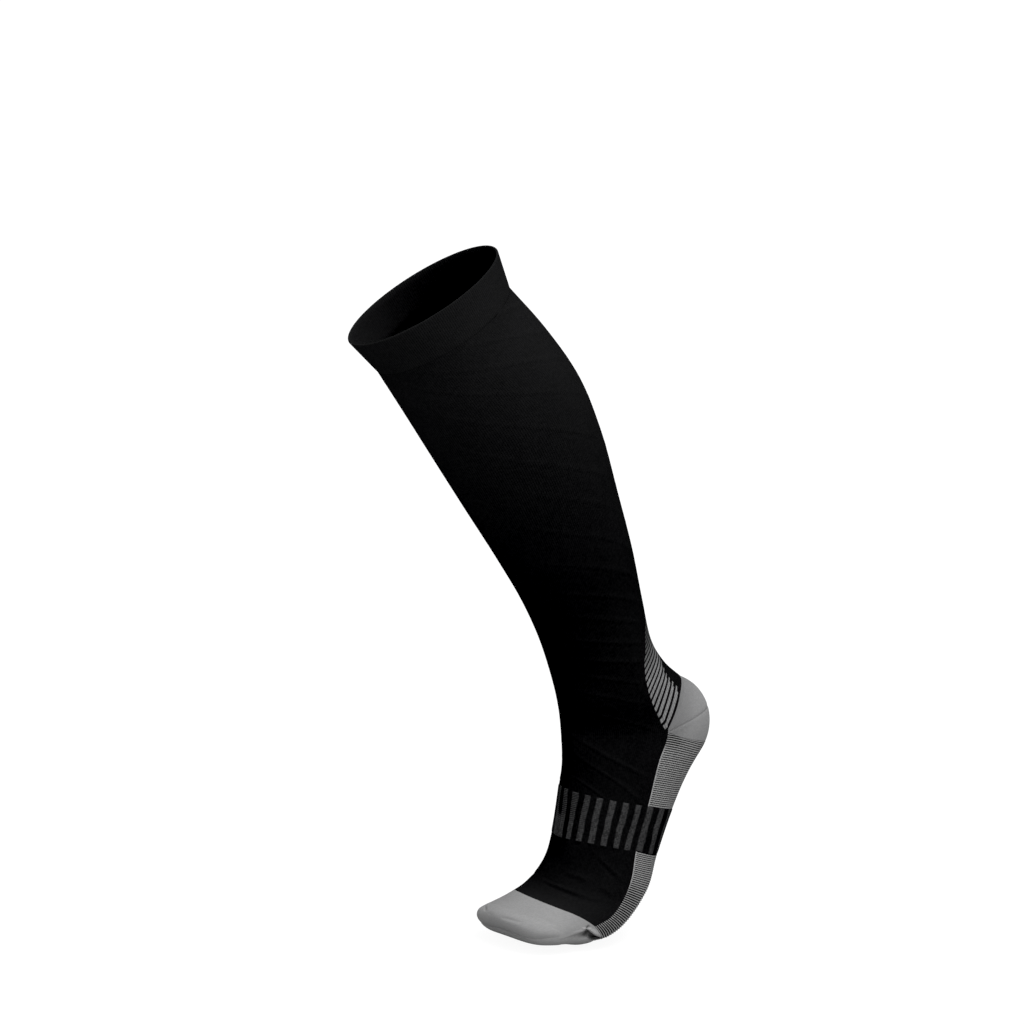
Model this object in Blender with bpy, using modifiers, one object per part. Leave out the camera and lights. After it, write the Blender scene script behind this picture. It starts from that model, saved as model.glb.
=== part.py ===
"""A knee-high compression stocking, worn, with the heel raised and the toes flat.

The stocking is one hollow tube that bends at the ankle. Its shape is drafted the way a leg last is: a side
line runs down the leg, through the gore corner at the ankle and along the foot, and each section hangs on
it. The origin is the middle of the top opening, where the calf holds the stocking. The toes point to -Y,
the heel to +Y, and +Z is up.
"""
from collections import namedtuple
from math import cos, pi, radians, sin, tan

import bmesh
import bpy
import numpy as np
from mathutils import Vector

# ---------------------------------------------------------------------------------------------
# Driving dimensions, in millimetres
# ---------------------------------------------------------------------------------------------
MM = 0.001                    # metres in a millimetre
SEAM = 0.3                    # the gap left between two knitted zones

WELT_WALL = 2.0               # the welt is knitted double and turned
LEG_WALL = 1.2
HEEL_WALL = 1.6               # heel and toe are knitted with a second yarn
FOOT_WALL = 1.3
BAND_WALL = 1.4

TOE_REACH = 22.0              # from the last section to the tip of the toes
TIP_DROP = 3.5                # how much lower the tip lies than that section
TIP_WIDTH = 0.55              # width of the closing seam, as a share of the last section
TOE_CORNERS = 2.4             # squareness of the toe seen from above
TOE_NOSE = 1.9                # squareness of the toe seen from the side

INSTEP_RIBS = 14              # ribs of the arch band over the instep, each in the middle of its share
SOLE_RIBS = 10                # and under the sole, where the first and the last lie at the side lines
RIB_RISE = 0.4                # how far a rib stands proud of the band

# A section of the stocking. step and heading lead from the previous section along the side line, heading
# in degrees from straight down towards the heel. front and back are the depths before and behind the side
# line, and front_rise and back_rise their slopes in degrees, rising towards the back. half_width is half
# the width. front_round and back_round shape the outline: 2 is an ellipse, more is squarer. slant turns
# the section on the foot, because the little toe lies farther back than the big one.
Section = namedtuple("Section", "name step heading front back front_rise back_rise "
                                "half_width front_round back_round slant")
SECTIONS = [
    Section("rim",          0,   0, 64, 63,  31,  31, 51.0, 2.0, 2.0, 0),
    Section("welt_end",    30,  32, 57, 56,  32,  33, 52.0, 2.0, 2.0, 0),
    Section("high_calf",   39,  42, 63, 57,  30,  30, 55.5, 2.0, 2.0, 0),
    Section("full_calf",   42,  38, 67, 56,  28,  28, 57.0, 2.0, 2.0, 0),
    Section("low_calf",    45,  28, 63, 53,  30,  30, 55.0, 2.0, 2.0, 0),
    Section("mid_shin",    51,  23, 54, 48,  31,  31, 49.0, 2.0, 2.0, 0),
    Section("low_shin",    41,  21, 47, 44,  27,  26, 43.0, 2.0, 2.0, 0),
    Section("above_ankle", 38,  20, 44, 39,  20,  22, 37.0, 2.0, 2.0, 0),
    Section("ankle",       32,  25, 48, 33,  13,  22, 34.0, 2.0, 1.9, 0),
    Section("tendon",      34,  30, 58, 34,   4,  38, 33.0, 2.1, 1.8, 0),
    Section("heel_top",    32,  31, 72, 43,  -2,  54, 31.0, 2.1, 1.9, 0),
    Section("heel_upper",   0,   0, 72, 47,  -2,  30, 31.0, 2.1, 1.9, 0),
    Section("heel_gore",    0,   0, 72, 49,  -2,   8, 31.0, 2.1, 1.9, 0),
    Section("heel_lower",   0,   0, 72, 49,  -2,  -9, 31.0, 2.1, 1.9, 0),
    Section("heel_bottom",  0,   0, 72, 48,  -2, -25, 31.0, 2.1, 1.9, 0),
    Section("arch_start",  22, -22, 62, 42,  -1, -23, 33.0, 2.1, 2.0, 0),
    Section("band_top",    35, -18, 54, 35, -13, -19, 36.0, 2.1, 2.1, 0),
    Section("band_bottom", 35, -18, 48, 32,  -9, -21, 38.0, 2.1, 2.2, 0),
    Section("ball_back",   21, -17, 46, 30, -13, -30, 40.0, 2.2, 2.3, 2),
    Section("ball",        16, -33, 44, 26, -16, -42, 42.0, 2.2, 2.4, 4),
    Section("ball_low",    17, -46, 41, 22, -21, -58, 43.0, 2.3, 2.6, 6),
    Section("toe_seam",    15, -67, 38, 20, -25, -76, 42.0, 2.2, 2.7, 8),
    Section("toe_middle",  27, -82, 25, 12, -33, -86, 40.0, 2.1, 2.7, 13),
]

# A crease is a soft trough. place is its distance down the side line and around its place on the ring,
# both at its middle; climb is how far it runs down the foot in one quarter of the ring; reach is half its
# length in quarters, width its half width and depth how far it sinks in.
Crease = namedtuple("Crease", "place around climb reach width depth")
CREASES = [
    Crease(516.0,  0.25,   4.0, 0.45, 2.6, 1.1),
    Crease(509.0,  0.10,   7.0, 0.35, 2.4, 0.7),
    Crease(492.0,  0.35,  10.0, 0.30, 2.8, 0.6),
    Crease(514.0, -0.45,  -5.0, 0.40, 2.6, 0.9),
]

# ---------------------------------------------------------------------------------------------
# The shape of the stocking
# ---------------------------------------------------------------------------------------------
NAMES = [section.name for section in SECTIONS]
WELT_END, HEEL_TOP, HEEL_BOTTOM = (NAMES.index(n) for n in ("welt_end", "heel_top", "heel_bottom"))
LEG_ROWS = list(range(WELT_END, HEEL_TOP + 1))
FOOT_ROWS = list(range(HEEL_BOTTOM, len(SECTIONS)))


def reach_of(length, rise):
    """A step of the given length in the middle plane, as (y, z), at a slope in degrees."""
    return length * np.array([cos(radians(rise)), sin(radians(rise))])


def walk_side_line():
    """Walk down the side line: each section's place, its front half's values and its back half's."""
    side, place, marks = np.zeros(2), 0.0, []
    for s in SECTIONS:
        side = side + reach_of(s.step, s.heading - 90.0)
        place += s.step
        front = side - reach_of(s.front, s.front_rise)
        back = side + reach_of(s.back, s.back_rise)
        marks.append((place, np.array([*front, *side, s.half_width, s.front_round, s.slant]),
                      np.array([*back, s.back_round])))
    return marks


MARKS = walk_side_line()
PLACE = {name: mark[0] for name, mark in zip(NAMES, MARKS)}


def smooth(knots, values, place):
    """A smooth curve through the values at the knots, read at a place between them."""
    gaps = np.diff(knots)
    slopes = np.diff(values, axis=0) / gaps[:, None]
    inner = slopes[:-1] * gaps[1:, None] + slopes[1:] * gaps[:-1, None]
    inner = inner / (gaps[1:] + gaps[:-1])[:, None]
    turns = np.vstack([slopes[:1], inner, slopes[-1:]])
    i = int(np.clip(np.searchsorted(knots, place) - 1, 0, len(gaps) - 1))
    gap = gaps[i]
    t = (place - knots[i]) / gap
    return ((2 * t**3 - 3 * t**2 + 1) * values[i] + (t**3 - 2 * t**2 + t) * gap * turns[i]
            + (3 * t**2 - 2 * t**3) * values[i + 1] + (t**3 - t**2) * gap * turns[i + 1])


def read_rows(rows, half, place):
    """Read the front (1) or back (2) half's values at a place, from the sections in rows."""
    knots = np.array([MARKS[i][0] for i in rows])
    return smooth(knots, np.array([MARKS[i][half] for i in rows]), place)


def section_at(place, on_foot):
    """Front point, side point, half width, front roundness, slant, back point and back roundness."""
    if place < PLACE["welt_end"]:
        return np.concatenate([read_rows([0, WELT_END], half, place) for half in (1, 2)])
    front = read_rows(LEG_ROWS + FOOT_ROWS[1:], 1, place)
    back = read_rows(FOOT_ROWS if on_foot else LEG_ROWS, 2, place)
    return np.concatenate([front, back])


def half_ring(middle, side, half_width, roundness, slant, shares):
    """Points of half a ring. A share runs from -1 on the -X side over 0 in the middle to 1."""
    turn = np.linspace(0.0, pi / 2, 61)
    across = half_width * np.sin(turn) ** (2 / roundness)
    along = np.maximum(np.cos(turn), 0.0) ** (2 / roundness)
    quarter = np.column_stack([across, *(side[:, None] + (middle - side)[:, None] * along)])
    run = np.append(0.0, np.cumsum(np.linalg.norm(np.diff(quarter, axis=0), axis=1)))
    points = np.column_stack([np.interp(abs(shares) * run[-1], run, column) for column in quarter.T])
    points[:, 0] *= np.sign(shares)
    points[:, 1] += points[:, 0] * tan(radians(slant))
    return points


def crease_depth(place, around):
    """How far the creases sink in at a place, for each position round the ring."""
    depth = np.zeros(len(around))
    for crease in CREASES:
        off = around - crease.around
        run = np.clip(abs(off) / crease.reach, 0.0, 1.0)
        apart = (place - crease.place - crease.climb * off) / crease.width
        depth += crease.depth * np.exp(-apart**2) * np.cos(run * pi / 2) ** 2
    return depth


def join_halves(front, back, around):
    """Points round a ring. around is 0 at the front, 1 at the +X side, 2 at the back, 3 at the -X side."""
    share = np.where(around > 1, 2 - around, np.where(around < -1, -2 - around, around))
    return np.where((abs(around) <= 1)[:, None], front(share), back(share))


def tube_ring(place, around, on_foot=False):
    """The ring at a place on the leg, or with on_foot on the foot, creases and all."""
    fy, fz, sy, sz, half_width, front_round, slant, by, bz, back_round = section_at(place, on_foot)
    side = np.array([sy, sz])
    points = join_halves(
        lambda share: half_ring(np.array([fy, fz]), side, half_width, front_round, slant, share),
        lambda share: half_ring(np.array([by, bz]), side, half_width, back_round, slant, share), around)
    inward = np.array([0.0, sy, sz]) - points
    inward /= np.linalg.norm(inward, axis=1)[:, None]
    return points + inward * crease_depth(place, around)[:, None]


def heel_ring(turn, around):
    """An arc of the heel pocket: turn is 0 at its top edge and 1 at its bottom edge."""
    rows = SECTIONS[HEEL_TOP:HEEL_BOTTOM + 1]
    falls = np.array([-s.back_rise for s in rows], float)
    fall = falls[0] + (falls[-1] - falls[0]) * turn
    depth = smooth(falls, np.array([[s.back] for s in rows], float), fall)[0]
    side = MARKS[HEEL_TOP][1][2:4]
    return half_ring(side + reach_of(depth, -fall), side, rows[0].half_width, rows[0].back_round, 0, 2 - around)


def toe_ring(turn, around):
    """A ring of the rounded toe: turn is 0 at the last section and 1 at the closing seam."""
    fy, fz, sy, sz, half_width, front_round, slant, by, bz, back_round = section_at(MARKS[-1][0], True)
    angle = turn * pi / 2
    wide = TIP_WIDTH + (1 - TIP_WIDTH) * max(cos(angle), 0.0) ** (2 / TOE_CORNERS)
    deep = max(cos(angle), 0.0) ** (2 / TOE_NOSE)
    side = np.array([sy, sz])
    middle = side - np.array([TOE_REACH, TIP_DROP]) * sin(angle)
    front = middle + (np.array([fy, fz]) - side) * deep
    back = middle + (np.array([by, bz]) - side) * deep
    return join_halves(
        lambda share: half_ring(front, middle, half_width * wide, front_round, slant, share),
        lambda share: half_ring(back, middle, half_width * wide, back_round, slant, share), around)


# ---------------------------------------------------------------------------------------------
# Building the zones
# ---------------------------------------------------------------------------------------------
QUARTER = 10                              # mesh steps in a quarter of a ring
EDGE = SEAM / 2 / 45.0                    # half a seam, as a share of a quarter 45 mm long
GORE = 0.7 / 50.0                         # the heel pocket stops 0.7 mm short of the gore corner
ROUND = np.linspace(-2.0, 2.0, 4 * QUARTER + 1)
FRONT = np.linspace(-1.0 + EDGE, 1.0 - EDGE, 2 * QUARTER + 1)
BACK = np.linspace(1.0 + EDGE, 3.0 - EDGE, 2 * QUARTER + 1)
POCKET = np.linspace(1.0 + GORE, 3.0 - GORE, 2 * QUARTER + 1)


def places(start, end, spacing):
    """Places from one named section to another, half a seam inside both."""
    first, last = PLACE[start] + SEAM / 2, PLACE[end] - SEAM / 2
    return np.linspace(first, last, round((last - first) / spacing) + 1)


def grid_of(rings):
    """A grid whose rows are the given rings, its faces turned outwards. Coinciding points are welded."""
    rows, columns = len(rings), len(rings[0])
    cloth = bmesh.new()
    bmesh.ops.create_grid(cloth, x_segments=columns - 1, y_segments=rows - 1, size=0.5)
    for vert in cloth.verts:
        column = round((0.5 + vert.co.x) * (columns - 1))
        row = round((0.5 - vert.co.y) * (rows - 1))
        vert.co = Vector(rings[row][column]) * MM
    bmesh.ops.remove_doubles(cloth, verts=cloth.verts, dist=1e-6)
    return cloth


def add_object(name, cloth, material, collection):
    """Make a named object of the cloth, with its material."""
    mesh = bpy.data.meshes.new(name)
    cloth.to_mesh(mesh)
    cloth.free()
    mesh.materials.append(material)
    for face in mesh.polygons:
        face.use_smooth = True
    zone = bpy.data.objects.new(name, mesh)
    collection.objects.link(zone)
    return zone


def knit_zone(name, rings, wall, material, collection):
    """A zone of the stocking: its outer face runs through the rings, and its wall goes inwards."""
    zone = add_object(name, grid_of(rings), material, collection)
    thickness = zone.modifiers.new("wall", 'SOLIDIFY')
    thickness.thickness = wall * MM
    thickness.offset = -1.0
    return zone


def outward_normals(points):
    """Unit normals of a closed grid of points, rows down the foot and columns round it."""
    down = np.gradient(points, axis=0)
    around = np.roll(points, -1, axis=1) - np.roll(points, 1, axis=1)
    normals = np.cross(down, around)
    return normals / np.linalg.norm(normals, axis=2)[:, :, None]


def knit_ribbed_band(name, start, end, wall, material, collection):
    """A band with lengthwise ribs on its outer face over a plain inside."""
    over = 4 * INSTEP_RIBS                # over the instep a rib is low, raised, raised, low
    under = 4 * SOLE_RIBS - 2             # under the sole it is raised, raised, low, low
    front = np.linspace(-1.0, 1.0, over + 1)[:-1]
    back = np.linspace(1.0, 3.0, under + 1)[:-1]
    around = np.append(front, back)
    plain = np.array([tube_ring(place, around, on_foot=True) for place in places(start, end, 6.0)])
    raised = np.append((np.arange(over) + 3) % 4 < 2, np.arange(under) % 4 < 2)
    normals = outward_normals(plain)
    outer = plain + normals * RIB_RISE * raised[None, :, None]
    inner = plain - normals * wall
    loops = np.concatenate([outer, inner[::-1], outer[:1]])
    closed = np.concatenate([loops, loops[:, :1]], axis=1)
    return add_object(name, grid_of(closed), material, collection)


def cloth_material(name, colour, roughness):
    """A knitted cloth's material: its colour, its roughness and no metal."""
    material = bpy.data.materials.new(name)
    material.use_nodes = True
    shader = material.node_tree.nodes["Principled BSDF"]
    shader.inputs["Base Color"].default_value = (*colour, 1.0)
    shader.inputs["Roughness"].default_value = roughness
    shader.inputs["Metallic"].default_value = 0.0
    return material


def clear_scene():
    """Remove what the scene holds, so that only the stocking is left."""
    for thing in list(bpy.data.objects):
        bpy.data.objects.remove(thing, do_unlink=True)


def build_leg(collection):
    """The welt and the graduated tube below it."""
    welt = [tube_ring(place, ROUND) for place in np.linspace(0.0, PLACE["welt_end"] - SEAM / 2, 4)]
    knit_zone("welt", welt, WELT_WALL, cloth_material("welt_black", (0.012, 0.012, 0.013), 0.9), collection)
    leg = [tube_ring(place, ROUND) for place in places("welt_end", "heel_top", 11.0)]
    knit_zone("leg", leg, LEG_WALL, cloth_material("leg_black", (0.008, 0.008, 0.009), 0.85), collection)


def build_heel(collection):
    """The pocket that turns the tube at the heel."""
    turns = np.linspace(0.004, 0.996, 15)
    rings = [heel_ring(turn, POCKET) for turn in turns]
    knit_zone("heel", rings, HEEL_WALL, cloth_material("heel_grey", (0.22, 0.22, 0.22), 0.9), collection)


def build_foot(collection):
    """Instep and sole, the ribbed band round the arch, and the forefoot before it."""
    black = ((0.008, 0.008, 0.009), 0.85)
    striped = ((0.11, 0.11, 0.11), 0.9)
    zones = [
        ("instep", "heel_bottom", "band_top", 7.0, FRONT, black),
        ("sole", "heel_bottom", "band_top", 7.0, BACK, striped),
        ("forefoot_top", "band_bottom", "toe_seam", 3.0, FRONT, black),
        ("forefoot_sole", "band_bottom", "toe_seam", 6.0, BACK, striped),
    ]
    for name, start, end, spacing, around, (colour, roughness) in zones:
        rings = [tube_ring(place, around, on_foot=True) for place in places(start, end, spacing)]
        material = cloth_material(name + "_yarn", colour, roughness)
        knit_zone(name, rings, FOOT_WALL, material, collection)
    band = cloth_material("band_grey", (0.02, 0.02, 0.021), 0.85)
    knit_ribbed_band("arch_band", "band_top", "band_bottom", BAND_WALL, band, collection)


def build_toe(collection):
    """The cap over the toes, closed by a straight seam at its tip."""
    rings = [tube_ring(place, ROUND, on_foot=True) for place in places("toe_seam", "toe_middle", 5.0)]
    rings += [toe_ring(turn, ROUND) for turn in np.linspace(0.05, 1.0, 9)]
    knit_zone("toe", rings, HEEL_WALL, cloth_material("toe_grey", (0.27, 0.27, 0.27), 0.9), collection)


def build_stocking():
    """Build all zones of the stocking into one collection."""
    clear_scene()
    collection = bpy.data.collections.new("compression_stocking")
    bpy.context.scene.collection.children.link(collection)
    build_leg(collection)
    build_heel(collection)
    build_foot(collection)
    build_toe(collection)


build_stocking()
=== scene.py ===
# %% [markdown]
# # A compression stocking in its worn form
#
# The stocking is one knitted tube, shaped by the machine zone by zone: a turned welt, a graduated leg with
# a striped patch over the tendon, a heel pocket, a striped sole, a ribbed band round the arch and a closed
# toe. There is no leg inside. Each zone here is one thin sheet of cloth laid on the form that the frame
# already holds, so this script repeats the frame's sections and adds what a thicker solid leaves out: the
# folds, the ribs and every course of stitches. All lengths are in millimetres until a mesh is made.

# %% Load the frame
from collections import namedtuple
from functools import partial
from math import cos, pi, radians, sin, tan

import bmesh
import bpy
import numpy as np
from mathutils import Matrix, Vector


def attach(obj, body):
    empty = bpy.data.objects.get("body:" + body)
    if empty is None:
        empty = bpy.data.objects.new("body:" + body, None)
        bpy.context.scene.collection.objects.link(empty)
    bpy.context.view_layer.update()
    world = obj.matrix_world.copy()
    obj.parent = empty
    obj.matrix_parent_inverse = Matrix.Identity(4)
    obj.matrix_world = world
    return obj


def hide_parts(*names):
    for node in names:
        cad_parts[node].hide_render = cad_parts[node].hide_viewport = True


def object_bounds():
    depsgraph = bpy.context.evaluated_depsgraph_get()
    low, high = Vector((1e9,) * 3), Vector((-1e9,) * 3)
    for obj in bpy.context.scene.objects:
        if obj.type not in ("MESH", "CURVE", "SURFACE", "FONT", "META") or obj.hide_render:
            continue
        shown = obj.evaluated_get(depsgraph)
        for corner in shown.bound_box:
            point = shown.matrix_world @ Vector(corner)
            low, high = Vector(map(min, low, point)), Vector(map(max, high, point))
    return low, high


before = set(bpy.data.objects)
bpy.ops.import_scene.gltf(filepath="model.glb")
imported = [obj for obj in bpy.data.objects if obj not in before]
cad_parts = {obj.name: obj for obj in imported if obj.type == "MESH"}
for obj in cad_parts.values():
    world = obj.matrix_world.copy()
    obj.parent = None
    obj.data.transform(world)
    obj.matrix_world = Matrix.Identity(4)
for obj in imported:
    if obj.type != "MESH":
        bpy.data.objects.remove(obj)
cad_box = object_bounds()
MM = 0.001  # metres in a millimetre
print("nodes in the frame:", ", ".join(sorted(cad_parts)))

# %% [markdown]
# ## Camera, floor and light
#
# A long lens from a little above the floor keeps the leg's proportions. The camera is placed by an angle
# round the stocking, a height and a distance, which is easier to read than three coordinates. The floor
# is a plain pale sheet. Black cloth shows its form only where the light grazes it, so the main light comes
# from above and a little behind, where it reaches the calf, the heel and the top of the toes and leaves
# the shin dark, and a weak one comes from the camera's side. Both are suns with a wide angle, so they are
# as soft as a large lamp but light the whole length alike. A pale floor throws light back up and would
# flatten that. A studio keeps it away with black boards; here the floor answers the camera as a pale sheet
# and everything else as a darker one. Last, the tone curve's black point lets the deepest blacks close.

# %% Camera
PICTURE = 1024  # pixels across the square picture
FOCAL_PIXELS = 3836  # the lens, as its distance from the picture in pixels
AIM = Vector((0.0, 0.0701, -0.1636))
AZIMUTH, ELEVATION, DISTANCE = radians(65.0), radians(10.5), 2.8
SENSOR, FAR_CLIP = 36.0, 50.0


def towards(azimuth, elevation):
    """The unit vector from the stocking towards a place at that angle round it and above it."""
    return Vector((sin(azimuth) * cos(elevation), -cos(azimuth) * cos(elevation), sin(elevation)))


def look_from(thing, azimuth, elevation, distance, target=AIM):
    """Place a camera or a light round the target, looking at it."""
    thing.location = target + towards(azimuth, elevation) * distance
    thing.rotation_euler = (-towards(azimuth, elevation)).to_track_quat("-Z", "Y").to_euler()


camera = bpy.data.objects.new("camera", bpy.data.cameras.new("camera"))
camera.data.sensor_width = SENSOR
camera.data.lens = SENSOR * FOCAL_PIXELS / PICTURE
camera.data.clip_end = FAR_CLIP
bpy.context.scene.collection.objects.link(camera)
look_from(camera, AZIMUTH, ELEVATION, DISTANCE)
bpy.context.scene.camera = camera
print(f"lens {camera.data.lens:.1f} mm")

# %% Floor
FLOOR_SIDE = 60.0
FLOOR_HEIGHT = cad_box[0].z - 0.0004  # the stocking just clears it

bed = bmesh.new()
bmesh.ops.create_grid(bed, x_segments=1, y_segments=1, size=FLOOR_SIDE / 2)
bmesh.ops.translate(bed, verts=bed.verts, vec=(0.0, 0.0, FLOOR_HEIGHT))
floor_mesh = bpy.data.meshes.new("floor")
bed.to_mesh(floor_mesh)
bed.free()
floor = bpy.data.objects.new("floor", floor_mesh)
bpy.context.scene.collection.objects.link(floor)

BOUNCE = (0.50, 0.50, 0.50, 1.0)  # how pale the floor is to the cloth above it
PALE_FLOOR = (0.12, 0.12, 0.12, 1.0)  # how much of the shadow the camera sees on it
FLOOR_GLOW = 0.93  # and how white the rest of it is

floor_paint = bpy.data.materials.new("floor_paint")
floor_paint.use_nodes = True
nodes, links = floor_paint.node_tree.nodes, floor_paint.node_tree.links
nodes.remove(nodes["Principled BSDF"])
bounce, sheet, glow = (nodes.new(kind) for kind in
                       ("ShaderNodeBsdfDiffuse", "ShaderNodeBsdfDiffuse", "ShaderNodeEmission"))
bounce.inputs["Color"].default_value = BOUNCE
sheet.inputs["Color"].default_value = PALE_FLOOR
glow.inputs["Strength"].default_value = FLOOR_GLOW
seen, either, ray = (nodes.new(kind) for kind in
                     ("ShaderNodeAddShader", "ShaderNodeMixShader", "ShaderNodeLightPath"))
links.new(sheet.outputs[0], seen.inputs[0])
links.new(glow.outputs[0], seen.inputs[1])
links.new(ray.outputs["Is Camera Ray"], either.inputs[0])
links.new(bounce.outputs[0], either.inputs[1])
links.new(seen.outputs[0], either.inputs[2])
links.new(either.outputs[0], nodes["Material Output"].inputs["Surface"])
floor_mesh.materials.append(floor_paint)
print(f"floor at {FLOOR_HEIGHT:.4f} m")

# %% Light
FILL = 0.52  # brightness of the pale room, as the cloth sees it
BLACK_POINT = 0.007  # light below this shows as black
SUN_SPREAD = radians(40.0)  # the wider a sun, the softer its shadows
SUN_AWAY = 5.0  # only the direction of a sun counts, not its distance


def soft_sun(name, azimuth, elevation, strength):
    """A far light, so that near and far floor are lit alike. The angles are in degrees."""
    lamp = bpy.data.lights.new(name, 'SUN')
    lamp.energy = strength
    lamp.angle = SUN_SPREAD
    far = bpy.data.objects.new(name, lamp)
    bpy.context.scene.collection.objects.link(far)
    look_from(far, radians(azimuth), radians(elevation), SUN_AWAY)


soft_sun("overhead", azimuth=115.0, elevation=70.0, strength=2.2)
soft_sun("front", azimuth=65.0, elevation=40.0, strength=0.5)

sky = bpy.data.worlds.new("pale_room")
sky.use_nodes = True
room = sky.node_tree.nodes["Background"]
ray = sky.node_tree.nodes.new("ShaderNodeLightPath")
brightness = sky.node_tree.nodes.new("ShaderNodeMapRange")
brightness.inputs["To Min"].default_value = FILL
brightness.inputs["To Max"].default_value = 1.0
sky.node_tree.links.new(ray.outputs["Is Camera Ray"], brightness.inputs["Value"])
sky.node_tree.links.new(brightness.outputs[0], room.inputs["Strength"])
room.inputs["Color"].default_value = (1.0, 1.0, 1.0, 1.0)
bpy.context.scene.world = sky
view = bpy.context.scene.view_settings
view.view_transform = 'Standard'
view.look = 'None'
view.use_curve_mapping = True
view.curve_mapping.black_level = (BLACK_POINT, BLACK_POINT, BLACK_POINT)
view.curve_mapping.update()
print("two soft suns and a pale room")

# %% [markdown]
# ## The form: sections along a side line
#
# A stocking maker drafts on a last. Here a side line runs down the leg, through the gore corner at the
# ankle and along the foot, and every section hangs on it: how deep the form is before and behind the line,
# how steeply each half rises, how wide it is and how square. The table is the same as the frame's, so the
# cloth lies where the solids are.

# %% The sections
# step and heading lead from the previous section along the side line, heading in degrees from straight
# down towards the heel. front and back are the depths before and behind the line, front_rise and back_rise
# their slopes in degrees, half_width half the width, front_round and back_round the squareness (2 is an
# ellipse) and slant the turn of the section on the foot.
Section = namedtuple("Section", "name step heading front back front_rise back_rise "
                                "half_width front_round back_round slant")
SECTIONS = [
    Section("rim",          0,   0, 64, 63,  31,  31, 51.0, 2.0, 2.0, 0),
    Section("welt_end",    30,  32, 57, 56,  32,  33, 52.0, 2.0, 2.0, 0),
    Section("high_calf",   39,  42, 63, 57,  30,  30, 55.5, 2.0, 2.0, 0),
    Section("full_calf",   42,  38, 67, 56,  28,  28, 57.0, 2.0, 2.0, 0),
    Section("low_calf",    45,  28, 63, 53,  30,  30, 55.0, 2.0, 2.0, 0),
    Section("mid_shin",    51,  23, 54, 48,  31,  31, 49.0, 2.0, 2.0, 0),
    Section("low_shin",    41,  21, 47, 44,  27,  26, 43.0, 2.0, 2.0, 0),
    Section("above_ankle", 38,  20, 44, 39,  20,  22, 37.0, 2.0, 2.0, 0),
    Section("ankle",       32,  25, 48, 33,  13,  22, 34.0, 2.0, 1.9, 0),
    Section("tendon",      34,  30, 58, 34,   4,  38, 33.0, 2.1, 1.8, 0),
    Section("heel_top",    32,  31, 72, 43,  -2,  54, 31.0, 2.1, 1.9, 0),
    Section("heel_upper",   0,   0, 72, 47,  -2,  30, 31.0, 2.1, 1.9, 0),
    Section("heel_gore",    0,   0, 72, 49,  -2,   8, 31.0, 2.1, 1.9, 0),
    Section("heel_lower",   0,   0, 72, 49,  -2,  -9, 31.0, 2.1, 1.9, 0),
    Section("heel_bottom",  0,   0, 72, 48,  -2, -25, 31.0, 2.1, 1.9, 0),
    Section("arch_start",  22, -22, 62, 42,  -1, -23, 33.0, 2.1, 2.0, 0),
    Section("band_top",    35, -18, 54, 35, -13, -19, 36.0, 2.1, 2.1, 0),
    Section("band_bottom", 35, -18, 48, 32,  -9, -21, 38.0, 2.1, 2.2, 0),
    Section("ball_back",   21, -17, 46, 30, -13, -30, 40.0, 2.2, 2.3, 2),
    Section("ball",        16, -33, 44, 26, -16, -42, 42.0, 2.2, 2.4, 4),
    Section("ball_low",    17, -46, 41, 22, -21, -58, 43.0, 2.3, 2.6, 6),
    Section("toe_seam",    15, -67, 38, 20, -25, -76, 42.0, 2.2, 2.7, 8),
    Section("toe_middle",  27, -82, 25, 12, -33, -86, 40.0, 2.1, 2.7, 13),
]
TOE_REACH, TIP_DROP = 22.0, 3.5  # the tip of the toes beyond and below the last section
TIP_WIDTH = 0.55  # the closing seam's width, as a share of that section
TOE_CORNERS, TOE_NOSE = 2.4, 1.9  # the toe's squareness from above and from the side

NAMES = [section.name for section in SECTIONS]
WELT_END, HEEL_TOP, HEEL_BOTTOM = (NAMES.index(n) for n in ("welt_end", "heel_top", "heel_bottom"))
LEG_ROWS = list(range(WELT_END, HEEL_TOP + 1))
FOOT_ROWS = list(range(HEEL_BOTTOM, len(SECTIONS)))
print(f"{len(SECTIONS)} sections, from {NAMES[0]} to {NAMES[-1]}")

# %% Walking down the side line


def reach_of(length, rise):
    """A step of the given length in the middle plane, as (y, z), at a slope in degrees."""
    return length * np.array([cos(radians(rise)), sin(radians(rise))])


def walk_side_line():
    """Each section's place on the side line, its front half's values and its back half's."""
    side, place, marks = np.zeros(2), 0.0, []
    for s in SECTIONS:
        side = side + reach_of(s.step, s.heading - 90.0)
        place += s.step
        front = side - reach_of(s.front, s.front_rise)
        back = side + reach_of(s.back, s.back_rise)
        marks.append((place, np.array([*front, *side, s.half_width, s.front_round, s.slant]),
                      np.array([*back, s.back_round])))
    return marks


MARKS = walk_side_line()
PLACE = {name: mark[0] for name, mark in zip(NAMES, MARKS)}
print(f"side line: {MARKS[-1][0]:.0f} mm from the rim to the toes")

# %% Reading a section between two others


def smooth(knots, values, place):
    """A smooth curve through the values at the knots, read at a place between them."""
    gaps = np.diff(knots)
    slopes = np.diff(values, axis=0) / gaps[:, None]
    inner = slopes[:-1] * gaps[1:, None] + slopes[1:] * gaps[:-1, None]
    inner = inner / (gaps[1:] + gaps[:-1])[:, None]
    turns = np.vstack([slopes[:1], inner, slopes[-1:]])
    i = int(np.clip(np.searchsorted(knots, place) - 1, 0, len(gaps) - 1))
    gap = gaps[i]
    t = (place - knots[i]) / gap
    return ((2 * t**3 - 3 * t**2 + 1) * values[i] + (t**3 - 2 * t**2 + t) * gap * turns[i]
            + (3 * t**2 - 2 * t**3) * values[i + 1] + (t**3 - t**2) * gap * turns[i + 1])


def read_rows(rows, half, place):
    """The front (1) or back (2) half's values at a place, from the sections in rows."""
    knots = np.array([MARKS[i][0] for i in rows])
    return smooth(knots, np.array([MARKS[i][half] for i in rows]), place)


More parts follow.
